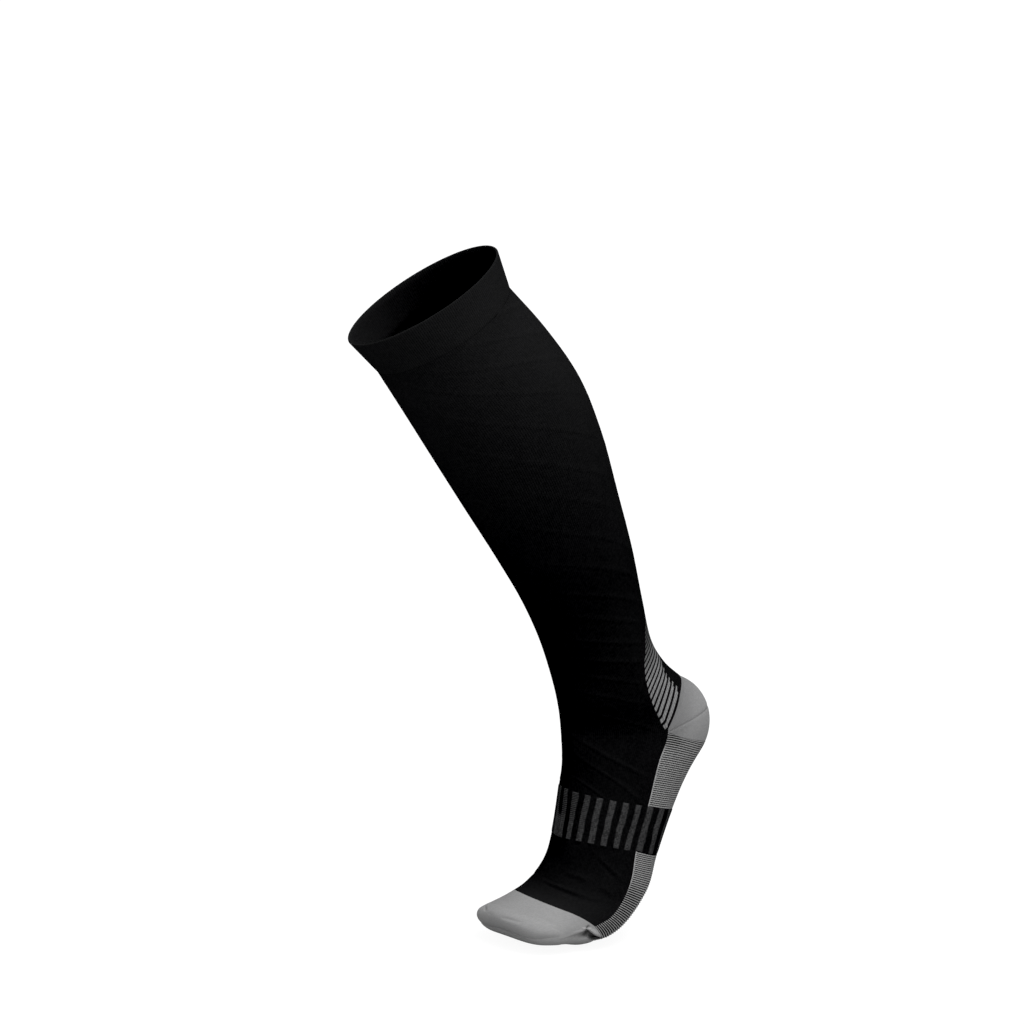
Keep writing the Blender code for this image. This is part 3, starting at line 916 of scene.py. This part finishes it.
# tables down the path: the patch's front edge and half of the black arch, in quarters, and how much of the
# grey shows, less towards the top partly as painted shade
PATCH_FRONT = ([290, 298, 305, 315, 320, 325, 332, 337, 342, 347, 357, 363, 370, 376, 384],
               [2.10, 1.66, 1.50, 1.375, 1.31, 1.215, 1.15, 1.10, 1.07, 1.04, 1.00, 0.98,
                0.962, 0.955, 0.985])
WINDOW_HALF = ([322, 330, 340, 346, 352, 384], [-0.10, 0.12, 0.30, 0.42, 0.47, 0.485])
GREY_SHOWN = ([298, 312, 326, 342], [0.22, 0.30, 0.55, 1.0])
QUARTER_MM, FRONT_QUARTER = 52.0, 60.0  # length of a quarter ring above the heel, behind and in front
BAND_CLIMB, CLIMB_GROWTH = 5.4, 0.126  # how far a band climbs at the heel, and more for each mm up
BAND_SPREAD = 0.35  # the share by which it has climbed most of that
FADE_FROM, FADE_OVER = 352.0, 30.0  # from here up the grey fades beside the arch, fully this far up
FADE_WIDE, FADE_LEAST = 13.0, 0.15  # mm that this reaches from the arch, and the share it always leaves


def patch_maps(paths, around):
    """The pattern map holds the mm behind the patch's front edge and the band count, the window map the mm
    outside the arch and how much of the grey shows, less towards the top partly as painted shade."""
    side = 1 + np.where(abs(around) > 1, back_share(around), abs(around) - 1)[None, :]
    amount = BAND_CLIMB + CLIMB_GROWTH * np.clip(CORNER - paths, 0.0, 90.0)
    course = paths + lean_of(np.clip(side - 1, 0.0, 1.0), amount, BAND_SPREAD)
    course = course + FRONT_QUARTER * np.clip(side - 1, -0.1, 0.0)
    count = np.interp(course, BAND_LINES, range(len(BAND_LINES)))
    behind = (side - np.interp(paths, *PATCH_FRONT)) * QUARTER_MM
    outside = ((2 - side) - np.interp(paths, *WINDOW_HALF)) * QUARTER_MM
    faded = np.clip((FADE_FROM - paths) / FADE_OVER, 0.0, 1.0)
    faded = faded * (1 - np.clip(outside / FADE_WIDE, FADE_LEAST, 1.0))
    return pair(behind, count), pair(outside, np.interp(paths, *GREY_SHOWN) * (1 - faded))


print(len(BAND_LINES) - 1, "grey bands over the tendon")

# %% Leg
LEG_STEP = 2.0
TUCKED, TUCK_DEPTH = 2.5, 0.06  # how far the leg runs up under the welt, and how deep

around = np.linspace(-2.0, 2.0, 4 * WALES + 1)
leg_end = np.where(abs(around) < 1, CORNER, heel_edge(around))
leg_start = np.full(len(around), PLACE["welt_end"] - TUCKED)
paths = between(leg_start, leg_end, round((CORNER - PLACE["welt_end"]) / LEG_STEP) + 1)
leg_points = lay_rows(paths, around)
pulls = pull_lines(paths, around)
under_welt = np.clip(PLACE["welt_end"] - 1.0 - paths, 0.0, 1.0)
leg_points = raised(leg_points, PULL_RISE * pulls * (1 - under_welt) - TUCK_DEPTH * under_welt)
bands, window = patch_maps(paths, around)
to_edge = leg_end[None, :] - paths + FRONT_QUARTER * np.clip(1 - abs(around), 0.0, 0.2)[None, :]
print(f"the leg runs {np.ptp(paths, axis=0).max():.0f} mm down the path")

# %% The leg's cloth
BLUR = 0.3  # half the blur of the patch's edges
NOTCH = 1.8  # a band's upper half ends this much farther out, its lower in
HEEL_GAP = (2.8, 3.5)  # black courses between the last band and the heel
BAND_SHARE, BAND_BLUR = 0.58, 0.06
BEAD = 2.4  # length of the beads along a band, where loops bunch up

leg_cloth = black_cloth("leg_black")
behind, count = leg_cloth.map_values("pattern")
outside, glow = leg_cloth.map_values("window")
_, to_heel = leg_cloth.map_values("pull")
half = ramp(maths('FRACT', count), 0.45, 0.55)  # 0 in a band's upper half, 1 below
notch = scale_and_add(half, -2 * NOTCH, NOTCH)
in_patch = ramp(behind, -BLUR, BLUR)
past_window = ramp(plus(outside, notch), -BLUR, BLUR)
off_heel = ramp(to_heel, *HEEL_GAP)
patch = times(times(in_patch, past_window), times(leg_cloth.mask(count, BAND_SHARE, BAND_BLUR), off_heel))
beads = maths('SINE', scale_and_add(behind, 2 * pi / BEAD, times(count, 2.2)))
patch = times(patch, scale_and_add(ramp(beads, -0.9, 0.2), 0.36, 0.68))
# glow is how much of the grey shows: less towards the top, partly as painted shade, and less beside the
# arch
leg_cloth.shade(mix_colours(times(patch, glow), BLACK, GREY), 0.50, STITCH_TONES, leg_cloth.lift)
leg = knit_sheet("leg_knit", leg_points,
                 {"knit": stitches(around, paths / COURSE), "pattern": bands, "window": window,
                  "pull": pair(stretch_and_light(pulls, paths), to_edge)})
hand_over(leg, "leg", leg_cloth.material)

# %% [markdown]
# ## The heel pocket
#
# The pocket is two wedges that meet at the gore line, knitted to and fro without the rest of the tube. All
# its arcs start at the gore corner on each side line. The gore line is a shallow groove with the tight
# stitches of the turn beside it. The first courses below the patch are painted darker, as painted shade on
# the upper wedge, and a map counts the distance from the top edge for that.

# %% Heel
GORE_DEEP, GORE_WIDE = 0.35, 0.9
SOLE_LEAN = 4.6  # how far the first course of the sole climbs to the back
CORNER_CUT, CUT_SHARE = 10.0, 0.06  # the pocket stops this much short at the gore corner
GORE_AT, GORE_DROP = 0.44, 0.08  # the gore line's share of the run, and its drop to the back
ARC_SCALE = 0.85  # length of an arc at the back for each mm of the run

around = np.linspace(1.0, 3.0, 161)
share = back_share(around)
heel_top = heel_edge(around)
sole_top = CORNER + HEEL_RUN - lean_of(share, SOLE_LEAN)
paths = between(heel_top, sole_top - CORNER_CUT * np.exp(-(share / CUT_SHARE)**2), 81)
heel_points = lay_rows(paths, around, by_heel=True)
gore = CORNER + HEEL_RUN * (GORE_AT + GORE_DROP * share)
arc = ARC_SCALE * np.sin(share * pi / 2)  # arcs widen from the corner to the back
apart = (paths - gore[None, :]) * arc[None, :] / GORE_WIDE
heel_points = raised(heel_points, -GORE_DEEP * np.exp(-apart**2) * (share > 0.02))
print(f"gore line: {gore.min():.0f} mm down the path at its corners, {gore.max():.0f} mm at the back")

# %% The pocket's cloth
SEAM_LINE, SEAM_DARK = (0.8, 0.2), 0.32  # mm from the gore where its line starts and is full
TOP_SHADE, TOP_SHADE_DARK = (22.0, 3.0), 0.33  # and mm below the top edge where the upper wedge's painted shade starts and is full, and how dark it is

heel_cloth = Cloth("heel_grey", 0.9, 0.12)
gore_gap, below_top = heel_cloth.map_values("pattern")
seam_line = times(ramp(maths('ABSOLUTE', gore_gap), *SEAM_LINE), SEAM_DARK)
# painted shade on the upper wedge, fullest near its top edge
top_shade = times(ramp(below_top, *TOP_SHADE), TOP_SHADE_DARK)
# the gore's dark line, together with the painted shade of the upper wedge
dark = maths('MAXIMUM', seam_line, top_shade)
heel_cloth.shade(mix_colours(dark, HEEL_GREY_SHADED, SOOT), 0.18, 0.10)
heel_cloth.relief(0.09, 0.05)
heel = knit_sheet("heel_pocket", heel_points,
                  {"knit": stitches(around, paths / COURSE),
                   "pattern": pair(apart * GORE_WIDE, (paths - heel_top[None, :]) * arc[None, :])})
hand_over(heel, "heel", heel_cloth.material)

# %% [markdown]
# ## The sole
#
# Pale and black courses take turns under the foot. Each pale course stands a little proud, which is what
# makes the edge of the sole look toothed at the ball, so the courses are real relief. The rows of the grid
# follow the courses, six to a stripe, and the stripes are counted row by row.

# %% Counting stripes
BAND_TOP = PLACE["band_top"] - 0.6  # where the sole and the instep meet the arch band
STRIPE_AT = ([384, 402, 417, 433, 441, 475, 485, 497, 512, 525, 545],
             [1.76, 1.64, 1.59, 1.53, 1.50, 1.45, 1.45, 1.61, 1.69, 1.70, 1.62])


def count_stripes(places):
    """How many stripes lie between the first place and each of the others."""
    return np.append(0.0, np.cumsum(np.diff(places) / np.interp(places[1:], *STRIPE_AT)))


def stripe_ridges(count, rise):
    """The relief of the pale courses."""
    return rise * (np.cos(2 * pi * (count - 0.5)) * 0.5 + 0.5)


MIDDLE_RUN = count_stripes(np.linspace(CORNER, BAND_TOP, 200))[-1]
print(f"{MIDDLE_RUN:.0f} pale courses from the heel to the band")

# %% The striped cloth
EDGE_WALE = (1.3, 0.5)  # mm from the side line where the pale wale ends and is full
NEAR_EDGE = (18.0, 5.0)  # and where the bolder black courses start and are full
PALE_SHARE, BOLD_MORE = 0.54, 0.16  # a pale course's share of its stripe, and how much less there
TUCK_STEP, TUCK_TURN = 0.37, 0.42  # turns of the lattice of tucks from course to course and wale
TUCK_SHIFT = 0.045  # how far a tuck pulls its course aside, in stripes


def striped_cloth(name, lattice, fine, blur):
    """The sole's material: pale and black courses, a pale wale at the edge, and a lattice of tucked loops.
    lattice holds the counts where the tucks start and are full, fine those where the black courses beside
    the edge are thin and thick."""
    cloth = Cloth(name, 0.9, 0.10, lean=0.25)
    count, from_edge = cloth.map_values("pattern")
    wales, _ = cloth.map_values("knit")
    turn = scale_and_add(maths('FLOOR', count), TUCK_STEP, times(wales, TUCK_TURN))
    tucks = times(maths('SINE', times(turn, 2 * pi)), ramp(count, *lattice))
    shifted = scale_and_add(tucks, TUCK_SHIFT, count)
    bold = times(times(ramp(count, *fine), ramp(from_edge, *NEAR_EDGE)), BOLD_MORE)
    edge = times(ramp(from_edge, *EDGE_WALE), ramp(count, fine[1], fine[0]))
    mask = maths('MAXIMUM', cloth.mask(shifted, minus(PALE_SHARE, bold), blur), edge)
    mask = times(mask, scale_and_add(tucks, 0.09, 0.91))
    cloth.shade(mix_colours(mask, BLACK, PALE), 0.2, 0.30)
    cloth.relief(0.08, 0.05)
    return cloth.material


print(f"a pale course takes {PALE_SHARE:.0%} of its stripe, and {PALE_SHARE - BOLD_MORE:.0%} near the edge")

# %% Sole
SIDE_LINES = [1.0, 3.0]
STRIPE_ROWS = 6
BAND_LEAN = 1.4  # how far the band's top edge climbs under the sole
EDGE_FADE = 0.03  # the ridges of the courses fade out in this share
COURSE_RISE = 0.16

around = np.linspace(*SIDE_LINES, 121)
share = back_share(around)
sole_top = CORNER + HEEL_RUN - lean_of(share, SOLE_LEAN)
sole_end = BAND_TOP + HEEL_RUN - lean_of(share, BAND_LEAN)
rows = round(MIDDLE_RUN * STRIPE_ROWS) + 1
count = count_stripes(np.linspace(CORNER, BAND_TOP, rows))
paths = between(sole_top, sole_end, rows)
sole_points = lay_rows(paths, around, by_heel=True)
edge_fade = np.clip(share / EDGE_FADE, 0.0, 1.0)
sole_points = raised(sole_points, stripe_ridges(count, COURSE_RISE)[:, None] * edge_fade)
sole_cloth = striped_cloth("sole_stripe", lattice=(2.0, 14.0), fine=(9.0, 4.0), blur=0.11)
sole = knit_sheet("sole_knit", sole_points,
                  {"knit": stitches(around, 2 * count[:, None]),
                   "pattern": pair(count[:, None], QUARTER_MM * share[None, :])})
hand_over(sole, "sole", sole_cloth)

# %% [markdown]
# ## The instep
#
# The upper half of the foot is the leg's black knit, carried on over the ankle's bend. Only the lines of
# the pull cross it.

# %% Instep
around = np.linspace(-1.0, 1.0, 2 * WALES + 1)
paths = between(np.full(len(around), CORNER), np.full(len(around), BAND_TOP), 58)
instep_points = lay_rows(paths, around)
pulls = pull_lines(paths, around)
instep_points = raised(instep_points, PULL_RISE * pulls)

instep_cloth = black_cloth("instep_black")
instep_cloth.shade(BLACK, 0.25, STITCH_TONES, instep_cloth.lift)
instep = knit_sheet("instep_knit", instep_points,
                    {"knit": stitches(around, paths / COURSE),
                     "pull": pair(stretch_and_light(pulls, paths), 0.0)})
hand_over(instep, "instep", instep_cloth.material)

# %% [markdown]
# ## The arch band
#
# A band of lengthwise ribs grips the arch. Each rib shows some grey yarn between black valleys. Between
# fourteen and fifteen ribs cross the instep, and under the sole they are wider. The grey shows as dashes
# along the ribs, and on the front ribs near the top it is painted brighter, as a painted highlight.

# %% Arch band
INSTEP_RIBS, SOLE_RIBS = 14.6, 9.5
END_GAP = ([0.0, 0.2, 0.35, 0.5, 0.62, 0.75, 0.88, 1.0],
           [0.4, 1.6, 2.1, 2.2, 1.8, 1.1, 0.3, 0.2])  # mm of black below the grey, by place round
SOLE_GAP = 0.5
FRONT_STEPS, BACK_STEPS = 12, 14  # grid columns to a rib over the instep and under the sole
RIB_RISE = 0.45
RIB_TOP_FADE, RIB_END_FADE = 1.2, 1.8  # mm over which a rib comes up at its top and goes at its end
BAND_BOTTOM = PLACE["band_bottom"] - 1.0


def rib_count(around):
    """Ribs counted from the front round to the middle of the sole: the middle of each is on a half."""
    return np.clip(abs(around), 0.0, 1.0) * INSTEP_RIBS / 2 + back_share(around) * SOLE_RIBS / 2


front = np.linspace(-1.0, 1.0, round(INSTEP_RIBS * FRONT_STEPS) + 1)
back = np.linspace(*SIDE_LINES, round(SOLE_RIBS * BACK_STEPS) + 1)
around = np.concatenate([front[:-1], back])
share = back_share(around) * (abs(around) > 1)
band_top = BAND_TOP - lean_of(share, BAND_LEAN)
paths = between(band_top, np.full(len(around), BAND_BOTTOM), 35)
band_points = lay_rows(paths, by_side(around))
ribs = rib_count(around)
end_gap = np.where(abs(around) <= 1, np.interp(abs(around), *END_GAP), SOLE_GAP)
rib_shape = np.clip(np.cos(2 * pi * (ribs - 0.5)) * 1.4 + 0.2, 0.0, 1.0)  # a flat top, a narrow valley
top_fade = np.clip((paths - paths[:1]) / RIB_TOP_FADE, 0, 1)
end_fade = np.clip((paths[-1:] - paths) / RIB_END_FADE, 0, 1)
band_points = raised(band_points, RIB_RISE * rib_shape[None, :] * (top_fade * end_fade))
print(f"{ribs.max():.1f} ribs from the front round to the middle of the sole")

# %% The band's cloth
RIB_SHARE, RIB_BLUR, WOBBLE = 0.46, 0.06, 0.35  # the grey's share of a rib, its blur and how it wanders
JOIN_AT, JOIN_LOW, JOIN_SHARE = (0.32, 0.24), (17.0, 12.0), 0.7  # where grey joins the two front ribs
HIGHLIGHT_RIBS, HIGHLIGHT_FROM_END = (3.2, 0.8), (9.0, 20.0)  # where the painted highlight starts and is full: by rib, and mm from the end
DASH = 1.25  # length of a dash and its gap

band_cloth = Cloth("band_stripe", 0.85, 0.0)
ribs_map, from_end = band_cloth.map_values("pattern")
wobble = times(minus(band_cloth.fluff["Cloud"], 0.5), WOBBLE)
rib_mask = band_cloth.mask(plus(ribs_map, wobble), RIB_SHARE, RIB_BLUR)
joined = times(ramp(ribs_map, *JOIN_AT), ramp(from_end, *JOIN_LOW))
rib_mask = maths('MAXIMUM', rib_mask, times(joined, JOIN_SHARE))
rib_mask = times(rib_mask, ramp(from_end, 0.0, 0.5))
# a painted highlight on the front ribs near the top, where the dashes show brightest
painted_highlight = times(ramp(ribs_map, *HIGHLIGHT_RIBS), ramp(from_end, *HIGHLIGHT_FROM_END))
dash = ramp(maths('FRACT', times(from_end, 1 / DASH)), 0.42, 0.58)
dashes_and_highlight = times(scale_and_add(dash, 2.6, -0.6), scale_and_add(painted_highlight, 1.5, 0.12))
marl = times(rib_mask, ramp(band_cloth.stitch["Chance"], -1.2, 1.0))
marl = times(marl, plus(dashes_and_highlight, 0.9))
band_cloth.shade(mix_colours(marl, BLACK, SOOT), 0.25, 0.3)
band_cloth.relief(0.12, 0.05)
band = knit_sheet("arch_band_knit", band_points,
                  {"knit": stitches(around, paths / COURSE),
                   "pattern": pair(ribs[None, :], paths[-1:] - paths - end_gap[None, :])})
hand_over(band, "arch_band", band_cloth.material)

# %% [markdown]
# ## The forefoot
#
# Past the band the foot widens to the ball and bends. The black upper half buckles there, and the
# striped lower half follows the ball down to the toes. Their front edge is the toe's: level across the
# top, a little farther on at the side lines, and back again under the foot.

# %% The edge of the toe
TOE_TOP, TOE_SIDE = 540.0, 545.6  # the path of the toe cap's edge on top of the foot and on the side lines
DIP_FROM, DIP_POWER = 0.62, 1.6  # the place from which it dips to the side line, and how it bends
TOE_CLIMB, TOE_SPREAD = 7.6, 0.28  # how far it climbs again under the sole


def toe_edge(around):
    """The path of the toe cap's edge, for places all round."""
    dip = np.clip((abs(around) - DIP_FROM) / (1 - DIP_FROM), 0.0, 1.0) ** DIP_POWER
    over = TOE_TOP + (TOE_SIDE - TOE_TOP) * dip
    under = TOE_SIDE - lean_of(back_share(around), TOE_CLIMB, TOE_SPREAD)
    return np.where(abs(around) <= 1, over, under)


print(f"the toe starts {TOE_SIDE - TOE_TOP:.1f} mm farther on at the side lines than on top")


# %% Top of the forefoot
around = np.linspace(-1.0, 1.0, 2 * WALES + 1)
paths = between(np.full(len(around), BAND_BOTTOM), toe_edge(around), 90)
top_points = lay_rows(paths, around)
pulls = pull_lines(paths, around)
top_points = pinched(top_points, paths, around, PULL_RISE * pulls - crease_depth(paths, around))

forefoot_cloth = black_cloth("forefoot_black")
forefoot_cloth.shade(BLACK, 0.25, STITCH_TONES, forefoot_cloth.lift)
forefoot_top = knit_sheet("forefoot_top_knit", top_points,
                          {"knit": stitches(around, paths / COURSE),
                           "pull": pair(stretch_and_light(pulls, paths), 0.0)})
hand_over(forefoot_top, "forefoot_top", forefoot_cloth.material)

# %% Sole of the forefoot
BALL_CLIMB = 0.4  # how far its first course climbs under the foot

around = np.linspace(*SIDE_LINES, 121)
share = back_share(around)
ball_start = np.full(len(around), BAND_BOTTOM) - BALL_CLIMB * share
rows = round(count_stripes(np.linspace(BAND_BOTTOM, TOE_SIDE, 200))[-1] * STRIPE_ROWS) + 1
count = count_stripes(np.linspace(BAND_BOTTOM, TOE_SIDE, rows))
paths = between(ball_start, toe_edge(around), rows)
ball_points = lay_rows(paths, by_side(around))
# the pale courses stand prouder towards the ball
proud = np.interp(count, [0, 14, 20, count[-1] - 2, count[-1]], [0.16, 0.35, 0.66, 0.66, 0.15])
rise = stripe_ridges(count, proud)[:, None] * np.clip(share / EDGE_FADE, 0.0, 1.0)
ball_points = pinched(ball_points, paths, by_side(around), rise - crease_depth(paths, around))
ball_cloth = striped_cloth("forefoot_stripe", lattice=(21.0, 12.0), fine=(13.0, 22.0), blur=0.08)
forefoot_sole = knit_sheet("forefoot_sole_knit", ball_points,
                           {"knit": stitches(around, 2 * count[:, None]),
                            "pattern": pair(count[:, None], QUARTER_MM * share[None, :])})
hand_over(forefoot_sole, "forefoot_sole", ball_cloth)

# %% [markdown]
# ## The toe
#
# The grey cap closes over the toes. It is the softest zone: dimples show between the toes, and beside the
# little toe the cloth that is left over folds into a pinch with a dark shadow under it.

# %% Toe
# Where toes fill the cap: a place, how far round it the cloth follows, and how far it is pushed, in mm.
Fill = namedtuple("Fill", "place reach push")
TOE_FILLS = [
    Fill((-20.0, 58.5, -479.0), 11.0, (-0.60, -1.30, -1.10)),
    Fill((36.5, 95.0, -483.5), 7.5, (0.30, 0.0, -1.20)),
]
TIP_FADE = 8.0  # the creases fade out this far from the closing seam
# the same grey yarn once more, painted a little lighter on the toe cap as light from above
TOE_GREY_LIT = (0.305, 0.305, 0.306, 1.0)

around = np.concatenate([np.linspace(-2.0, 0.85, 200)[:-1], np.linspace(0.85, 1.35, 101)[:-1],
                         np.linspace(1.35, 2.0, 53)])
paths = between(toe_edge(around), np.full(len(around), TOES + TOE_RUN), 101)
toe_points = lay_rows(paths, around)
fade = np.clip((TOES + TOE_RUN - paths) / TIP_FADE, 0.0, 1.0)
toe_points = pinched(toe_points, paths, around, -fade * crease_depth(paths, around))
for fill in TOE_FILLS:
    apart = np.linalg.norm(toe_points - np.array(fill.place), axis=2) / fill.reach
    toe_points = toe_points + np.exp(-apart**2)[:, :, None] * np.array(fill.push)

toe_cloth = Cloth("toe_grey", 0.9, 0.12)
toe_cloth.shade(TOE_GREY_LIT, 0.14, 0.10)
toe_cloth.relief(0.08, 0.05)
toe = knit_sheet("toe_cap", toe_points, {"knit": stitches(around, paths / COURSE)})
hand_over(toe, "toe", toe_cloth.material)
